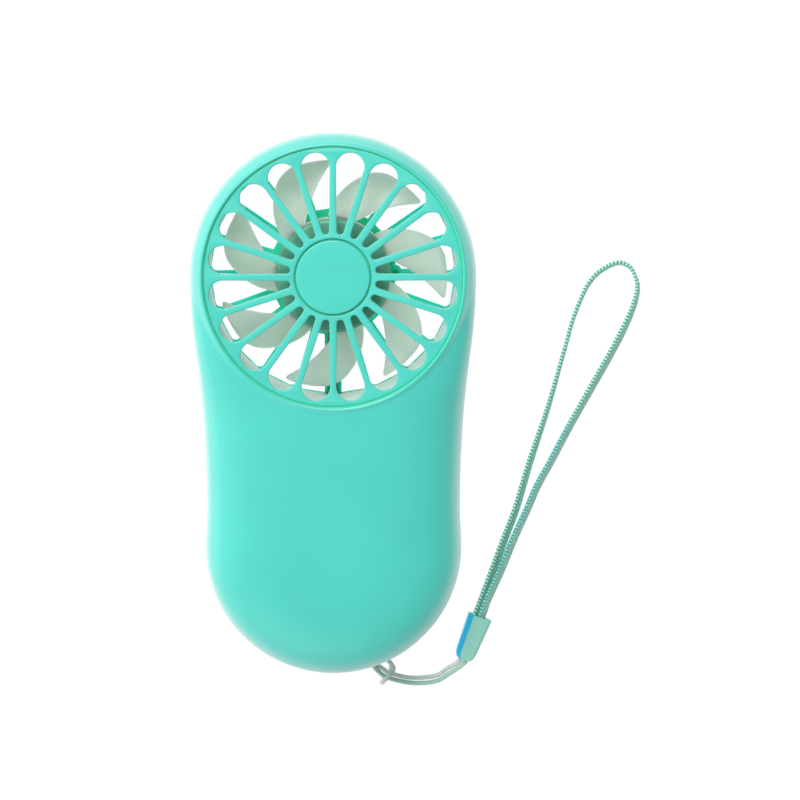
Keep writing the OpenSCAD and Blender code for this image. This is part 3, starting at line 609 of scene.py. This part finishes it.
def make_ferrule():
    """Crimped sleeve: a flattened tube whose rounded foot closes on the cord."""
    rows = []
    for k in range(33):
        y = FERRULE_L * k / 32
        half = sleeve_half(y)
        high = 1.8 * (0.82 + 0.18 * min(1.0, y / 2.5))
        row = []
        for j in range(96):
            a = 2 * math.pi * j / 96
            ca, sa = math.cos(a), math.sin(a)
            row.append(
                (
                    half * math.copysign(abs(ca) ** 0.32, ca),
                    y,
                    1.9 + high * math.copysign(abs(sa) ** 0.32, sa),
                )
            )
        rows.append(np.array(row))
    inner = [r.copy() for r in (rows[-1], rows[-1], rows[-4])]
    for i, r in enumerate(inner):
        r[:, 0] *= 0.86 if i else 0.94
        r[:, 2] = 1.9 + (r[:, 2] - 1.9) * (0.8 if i else 0.92)
    inner[0][:, 1] = FERRULE_L + 0.0
    inner[1][:, 1] = FERRULE_L - 0.15
    inner[2][:, 1] = FERRULE_L - 2.5
    first = rows[0].copy()
    first[:, 0] *= 0.8
    first[:, 2] = 1.9 + (first[:, 2] - 1.9) * 0.8
    rows = [first] + rows + inner
    turn = math.radians(FERRULE_TURN)
    c, s = math.cos(turn), math.sin(turn)
    for r in rows:
        x, y = r[:, 0].copy(), r[:, 1].copy()
        r[:, 0] = FERRULE_AT[0] + c * x - s * y
        r[:, 1] = FERRULE_AT[1] + s * x + c * y
    mesh = grid_mesh("ferrule_sleeve", rows)
    bm = bmesh.new()
    bm.from_mesh(mesh)
    bm.verts.ensure_lookup_table()
    bm.faces.new([bm.verts[j] for j in range(96)])
    last = (len(rows) - 1) * 96
    bm.faces.new([bm.verts[last + j] for j in range(96)])
    bmesh.ops.recalc_face_normals(bm, faces=bm.faces)
    bm.to_mesh(mesh)
    bm.free()
    obj = new_piece("ferrule_sleeve", mesh, sharp=50)
    obj.data.materials.append(ferrule_mat)
    obj.data.materials.append(bevel_mat)
    left, along = Vector((-c, -s, 0)), Vector((-s, c, 0))
    foot = Vector((FERRULE_AT[0], FERRULE_AT[1], 0)) * MM
    for f in obj.data.polygons:
        out, up = (f.center - foot).dot(left) / MM, (f.center - foot).dot(along) / MM
        on_flank = out > 0.47 * sleeve_half(min(max(up, 0.0), FERRULE_L))
        if on_flank and f.normal.z > -0.5 and f.normal.dot(along) < 0.7:
            f.material_index = 1
    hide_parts("strap_ferrule")
    return obj


cord, cord_len, cord_path = make_cord()
band, band_len, band_path = make_ribbon()
ferrule = make_ferrule()

# ---------------------------------------------------------------- body shells

HEAD_R, FOOT_R, WAIST_W = 31.4, 28.45, 28.1
FOOT_Y, WAIST_Y = -31.55, -23.0
BULGE_R = 125.0
SIDE_SUM = ((HEAD_R - WAIST_W) ** 2 + (HEAD_Y - WAIST_Y) ** 2) / (2 * (HEAD_R - WAIST_W))
HOLLOW_R = SIDE_SUM - BULGE_R
MEET_Y = HEAD_Y - (HEAD_Y - WAIST_Y) * BULGE_R / SIDE_SUM
HANDLE_N, HEAD_N = 4.0, 11.0
BACK_H, FRONT_H, WALL = 14.0, 13.7, 1.8
SEAT_R, DUCT_R, DUCT_WALL_R = 28.3, 27.4, 29.0
SEAT_Z = 25.6


def ease(a, b, x):
    t = np.clip((x - a) / (b - a), 0, 1)
    return t * t * (3 - 2 * t)


def side_w(y):
    upper = HEAD_R - BULGE_R + np.sqrt(np.maximum(0, BULGE_R**2 - (y - HEAD_Y) ** 2))
    lower = WAIST_W + HOLLOW_R - np.sqrt(np.maximum(0, HOLLOW_R**2 - (y - WAIST_Y) ** 2))
    foot = FOOT_R + (WAIST_W - FOOT_R) * ease(FOOT_Y, WAIST_Y, y)
    return np.where(y >= MEET_Y, upper, np.where(y >= WAIST_Y, lower, foot))


def share(x, y, inset=0.0):
    """How far a point is from the middle line, as a share of the way to the outline."""
    head = np.hypot(x, y - HEAD_Y) / (HEAD_R - inset)
    foot = np.hypot(x, y - FOOT_Y) / (FOOT_R - inset)
    side = np.abs(x) / (side_w(y) - inset)
    return np.where(y >= HEAD_Y, head, np.where(y <= FOOT_Y, foot, side))


def rise(x, y, height, inset=0.0, head_n=HEAD_N):
    n = HANDLE_N + (head_n - HANDLE_N) * ease(-4.0, 24.0, y)
    s = np.clip(share(x, y, inset), 0, 1)
    return height * np.maximum(0, 1 - s**n) ** (1 / n)


RAYS = 512
ANGLES = np.linspace(0, 2 * math.pi, RAYS, endpoint=False)


def ray_lengths(inset=0.0):
    low, high = np.full(RAYS, 20.0), np.full(RAYS, 110.0)
    for _ in range(60):
        mid = (low + high) / 2
        inside = share(mid * np.sin(ANGLES), HEAD_Y + mid * np.cos(ANGLES), inset) < 1
        low, high = np.where(inside, mid, low), np.where(inside, high, mid)
    return low


def at_radius(r):
    return r * np.sin(ANGLES), HEAD_Y + r * np.cos(ANGLES)


def soft_max(a, b, k):
    return 0.5 * (a + b + np.sqrt((a - b) ** 2 + k * k))


def front_height(x, y, r):
    """Front face: the skin, with the ring round the grille and its fine raised bead."""
    z = BACK_H + rise(x, y, FRONT_H, head_n=8.0)
    s = np.clip(r / HEAD_R, 0, 1)
    ring = BACK_H + 15.8 * np.maximum(0, 1 - s**6) ** (1 / 6)
    z = np.where(r < HEAD_R, soft_max(z, ring, 0.25), z)
    z = z + 0.22 * np.exp(-(((r - 29.1) / 0.42) ** 2))
    return z - 0.45 * np.clip((28.75 - r) / 0.45, 0, 1) ** 2


def shell_rows(height_of, edge_in, hole_z, cavity_rise, mirror):
    """Rows of one shell, from the grille hole out over the skin and back through the hollow."""
    reach = ray_lengths()
    rows = []

    def add(r, z):
        x, y = at_radius(r)
        rows.append(np.stack([x, y, z if not mirror else 2 * BACK_H - z], 1))

    near = np.minimum(3.6, reach - SEAT_R - 0.6)
    for k in range(31):
        r = SEAT_R + near * k / 30
        add(r, height_of(*at_radius(r), r))
    start = SEAT_R + near
    for k in range(1, 45):
        r = reach - (reach - start) * (1 - k / 45) ** 4
        add(r, np.maximum(height_of(*at_radius(r), r), BACK_H + 0.15))
    add(reach, np.full(RAYS, BACK_H + 0.12))
    add(reach - edge_in, np.full(RAYS, BACK_H))
    inner = ray_lengths(WALL)
    add(inner, np.full(RAYS, BACK_H))
    for k in range(1, 25):
        r = DUCT_WALL_R + (inner - DUCT_WALL_R) * max(0.0, 1 - k / 24) ** 0.6
        x, y = at_radius(r)
        keep = ease(6.0, 5.0, y)
        add(r, BACK_H + rise(x, y, cavity_rise, WALL) * keep)
    add(np.full(RAYS, DUCT_WALL_R), np.full(RAYS, BACK_H))
    add(np.full(RAYS, DUCT_R + 0.1), np.full(RAYS, BACK_H))
    add(np.full(RAYS, DUCT_R), np.full(RAYS, BACK_H + 0.1))
    for z in (18.0, 22.0, hole_z - 0.05):
        add(np.full(RAYS, DUCT_R), np.full(RAYS, z))
    add(np.full(RAYS, DUCT_R + 0.05), np.full(RAYS, hole_z))
    add(np.full(RAYS, SEAT_R), np.full(RAYS, hole_z))
    return rows


def paint_duct_glare(obj):
    """Gives the bore of the air duct its own near-white material, a painted reflection of the bright glare
    on it.
    """
    obj.data.materials.append(duct_glare_mat)
    for f in obj.data.polygons:
        if math.hypot(f.center.x, f.center.y - HEAD_Y * MM) < (DUCT_R + 0.05) * MM and abs(f.normal.z) < 0.3:
            f.material_index = 1


front_rows = shell_rows(front_height, 0.1, SEAT_Z, FRONT_H - WALL, False)
front = new_piece(
    "front_shell_skin",
    tidy(grid_mesh("front_shell_skin", front_rows, closed_rows=True), 0.0005),
    sharp=40,
)
paint(front, shell_mat)
paint_duct_glare(front)
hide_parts("front_shell")

# the rear shell keeps the CAD's exact holes and posts, welded so that its skin shades smoothly
rear_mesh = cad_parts["rear_shell"].data.copy()
rear_mesh.name = "rear_shell_skin"
tidy(rear_mesh, 0.002)
rear_shell = new_piece("rear_shell_skin", rear_mesh, sharp=30)
paint(rear_shell, shell_mat)
paint_duct_glare(rear_shell)
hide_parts("rear_shell")

# ---------------------------------------------------------------- grille and badge


def plate(name, outlines, z_low, z_high, edge):
    """A flat plate cut to closed outlines (the first is the rim), with rounded edges."""
    data = bpy.data.curves.new(name, "CURVE")
    data.dimensions = "2D"
    data.fill_mode = "BOTH"
    data.extrude = ((z_high - z_low) / 2 - edge) * MM
    data.bevel_depth = edge * MM
    data.bevel_resolution = 3
    data.offset = -edge * MM
    for k, outline in enumerate(outlines):
        pts = np.asarray(outline, float)
        area = 0.5 * np.sum(pts[:, 0] * np.roll(pts[:, 1], -1) - np.roll(pts[:, 0], -1) * pts[:, 1])
        if (area > 0) != (k == 0):
            pts = pts[::-1]
        spline = data.splines.new("POLY")
        spline.points.add(len(pts) - 1)
        for point, (x, y) in zip(spline.points, pts):
            point.co = (x * MM, y * MM, 0, 1)
        spline.use_cyclic_u = True
    obj = bpy.data.objects.new(name + "_outline", data)
    scene.collection.objects.link(obj)
    graph = bpy.context.evaluated_depsgraph_get()
    mesh = bpy.data.meshes.new_from_object(obj.evaluated_get(graph))
    mesh.name = name
    bpy.data.objects.remove(obj)
    mesh.transform(Matrix.Translation((0, HEAD_Y * MM, (z_low + z_high) / 2 * MM)))
    bm = bmesh.new()
    bm.from_mesh(mesh)
    bmesh.ops.remove_doubles(bm, verts=bm.verts, dist=1e-6)
    bmesh.ops.recalc_face_normals(bm, faces=bm.faces)
    bm.to_mesh(mesh)
    bm.free()
    return mesh


def ring_points(r, n=256):
    return [(r * math.cos(2 * math.pi * k / n), r * math.sin(2 * math.pi * k / n)) for k in range(n)]


def petal(angle):
    """Slot outline: a wide round outer end, a narrow inner one and straight sides."""
    big_r, big_at, small_r, small_at = 3.1, 24.2, 0.8, 10.2
    lean = math.pi / 2 + math.asin((big_r - small_r) / (big_at - small_at))
    pts = []
    for k in range(33):
        a = -lean + 2 * lean * k / 32
        pts.append((big_at + big_r * math.cos(a), big_r * math.sin(a)))
    for k in range(13):
        a = lean + (2 * math.pi - 2 * lean) * k / 12
        pts.append((small_at + small_r * math.cos(a), small_r * math.sin(a)))
    c, s = math.cos(angle), math.sin(angle)
    return [(c * x - s * y, s * x + c * y) for x, y in pts]


def make_grille():
    slots = [petal(math.pi / 2 + (k + 0.5) * math.pi / 10) for k in range(20)]
    outlines = [ring_points(28.27)] + slots + [ring_points(8.45, 128)]
    disc = plate("front_grille_petals", outlines, 25.6, 27.2, 0.22)
    floor = lathe("grille_floor", [(0, 25.65), (8.6, 25.65), (8.6, 26.45), (0, 26.45)], centre=(0, HEAD_Y))
    obj = new_piece("front_grille_petals", join_meshes("front_grille_petals", [disc, floor]), sharp=32)
    paint(obj, grille_mat)
    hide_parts("front_grille")
    return obj


def make_badge():
    profile = [(0, 26.5), (8.05, 26.5)]
    for k in range(9):
        a = math.pi / 2 * k / 8
        profile.append((7.75 + 0.3 * math.cos(a), 27.0 + 0.3 * math.sin(a)))
    profile += [(6.0, 27.3), (0, 27.3)]
    obj = new_piece("grille_badge_disc", lathe("grille_badge_disc", profile, centre=(0, HEAD_Y)))
    paint(obj, grille_mat)
    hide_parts("grille_badge")
    return obj


make_grille()
make_badge()

# ---------------------------------------------------------------- impeller

HUB_R, BLADE_R, ROOT_R, TIP_R = 12.6, 25.3, 12.2, 1.2


def tip_turn(r):
    """Degrees that each edge draws in near the tip, to round its corners."""
    u = min(1.0, max(0.0, r - BLADE_R + TIP_R) / TIP_R)
    return 2.9 * (1 - math.sqrt(1 - u * u))


def rear_edge(r):
    return -5 + 24 * (max(0.0, r - 12.5) / 10.9) ** 1.3 + 4 * (max(0.0, r - 23) / 2.7) ** 2 + tip_turn(r)


def front_edge(r):
    return 21 + 4.45 * max(0.0, r - 12.5) ** 0.76 - tip_turn(r)


def blade_rows(start):
    """One blade as closed loops at each radius, running out from the hub."""
    rows = []
    for i in range(41):
        t = i / 40
        r = ROOT_R + (BLADE_R - ROOT_R) * (1 - (1 - t) ** 1.4)
        span = (r - ROOT_R) / (BLADE_R - ROOT_R)
        low, high = 9.2 + 0.8 * span, 17.8 - 1.6 * span
        thick = 0.65 - 0.2 * span + 0.5 * math.exp(-(r - ROOT_R) / 0.7)
        thick *= max(0.25, min(1.0, (BLADE_R - r) / 0.5)) ** 0.5
        loop = []
        for side in (1, -1):
            for j in range(25):
                c = (j if side > 0 else 24 - j) / 24
                c = 0.5 - 0.5 * math.cos(math.pi * c)
                a = math.radians(90 - (rear_edge(r) + (front_edge(r) - rear_edge(r)) * c) - start)
                mid = low + (high - low) * c + 0.6 * math.sin(math.pi * c)
                edge = math.sqrt(max(0.0, 1 - abs(2 * c - 1) ** 8))
                if side < 0 and j in (0, 24):
                    continue
                loop.append(
                    (r * math.cos(a), HEAD_Y + r * math.sin(a), mid + side * thick * edge)
                )
        rows.append(loop)
    return rows


def make_impeller():
    meshes = []
    for k in range(7):
        mesh = grid_mesh("blade", blade_rows(k * 360 / 7))
        bm = bmesh.new()
        bm.from_mesh(mesh)
        bm.verts.ensure_lookup_table()
        n = len(bm.verts) // 41
        for row in (0, 40):
            for j in range(n // 2):
                a, b = row * n + j, row * n + j + 1
                c, d = row * n + (n - j - 1) % n, row * n + (n - j) % n
                loop = []
                for v in (a, b, c, d):
                    if bm.verts[v] not in loop:
                        loop.append(bm.verts[v])
                if len(loop) > 2:
                    try:
                        bm.faces.new(loop)
                    except ValueError:
                        pass
        bmesh.ops.recalc_face_normals(bm, faces=bm.faces)
        bm.to_mesh(mesh)
        bm.free()
        meshes.append(mesh)
    profile = [(0, 19.0), (1.0, 19.0), (1.0, 18.02), (11.52, 18.02)]
    profile += [(11.52, 6.65), (11.7, 6.6), (12.45, 6.6), (HUB_R, 6.75)]
    for k in range(9):
        a = math.pi / 2 * k / 8
        profile.append((HUB_R - 0.9 + 0.9 * math.cos(a), 18.9 + 0.9 * math.sin(a)))
    profile += [(8.0, 19.8), (7.8, 19.7), (0, 19.7)]
    meshes.append(lathe("hub", profile, centre=(0, HEAD_Y)))
    obj = new_piece("impeller_blades", join_meshes("impeller_blades", meshes), body="rotor", sharp=35)
    paint(obj, blade_mat)
    obj.data.materials.append(hub_shade_mat)
    # painted shade: the hub's top faces take the darker hub material
    for f in obj.data.polygons:
        near_axis = math.hypot(f.center.x, f.center.y - HEAD_Y * MM) < HUB_R * MM
        if near_axis and f.normal.z > 0.15 and f.center.z > 18.9 * MM:
            f.material_index = 1
    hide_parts("impeller")
    return obj


make_impeller()

# ---------------------------------------------------------------- floor, light and world


def add_floor():
    mesh = bpy.data.meshes.new("floor")
    s = 3.0
    mesh.from_pydata([(-s, -s, 0), (s, -s, 0), (s, s, 0), (-s, s, 0)], [], [(0, 1, 2, 3)])
    obj = bpy.data.objects.new("floor", mesh)
    obj.location = (0, 0, -0.0001)
    scene.collection.objects.link(obj)
    n = Nodes("floor_paper")
    grain = n.noise(n.coords(), 300, 3)
    n.link(n.mix(grain, (0.05, 0.05, 0.05, 1), (0.07, 0.07, 0.07, 1)), "Base Color")
    n.shader.inputs["Roughness"].default_value = 0.9
    n.shader.inputs["Specular IOR Level"].default_value = 0.0
    n.shader.inputs["Emission Color"].default_value = (1, 1, 1, 1)
    n.shader.inputs["Emission Strength"].default_value = 0.98
    obj.data.materials.append(n.mat)


def add_light(name, at, to, size, watts, tone=(1, 1, 1)):
    data = bpy.data.lights.new(name, "AREA")
    data.shape = "RECTANGLE"
    data.size, data.size_y = size
    data.energy = watts
    data.color = tone
    obj = bpy.data.objects.new(name, data)
    obj.location = at
    obj.rotation_euler = (Vector(to) - Vector(at)).to_track_quat("-Z", "Y").to_euler()
    scene.collection.objects.link(obj)


def add_world():
    world = bpy.data.worlds.new("studio")
    world.use_nodes = True
    tree = world.node_tree
    back = tree.nodes["Background"]
    at = tree.nodes.new("ShaderNodeTexCoord")
    sep = tree.nodes.new("ShaderNodeSeparateXYZ")
    fall = tree.nodes.new("ShaderNodeMapRange")
    tree.links.new(at.outputs["Generated"], sep.inputs[0])
    tree.links.new(sep.outputs["X"], fall.inputs["Value"])
    for key, v in (("From Min", -0.9), ("From Max", 0.9), ("To Min", 0.8), ("To Max", 0.02)):
        fall.inputs[key].default_value = v
    back.inputs["Color"].default_value = (1, 1, 1, 1)
    tree.links.new(fall.outputs["Result"], back.inputs["Strength"])
    scene.world = world


add_floor()
add_world()
add_light("top_soft", (-0.1, 0.42, 0.75), (0, 0, 0.01), (0.3, 0.3), 3.8)
add_light("foot_soft", (-0.1, -0.45, 0.5), (0, 0, 0.01), (0.4, 0.3), 0.35)
add_light("key_left", (-0.5, 0.2, 0.5), (0, 0, 0.01), (0.5, 0.5), 1.0)
add_light("card_left", (-0.3, 0.03, 0.06), (0, 0.02, 0.03), (0.34, 0.1), 0.12)
add_light("card_right", (0.3, 0.12, 0.04), (0, 0.02, 0.03), (0.14, 0.06), 0.06)
add_light("card_top", (0.0, 0.38, 0.06), (0, 0.02, 0.03), (0.3, 0.1), 0.12)
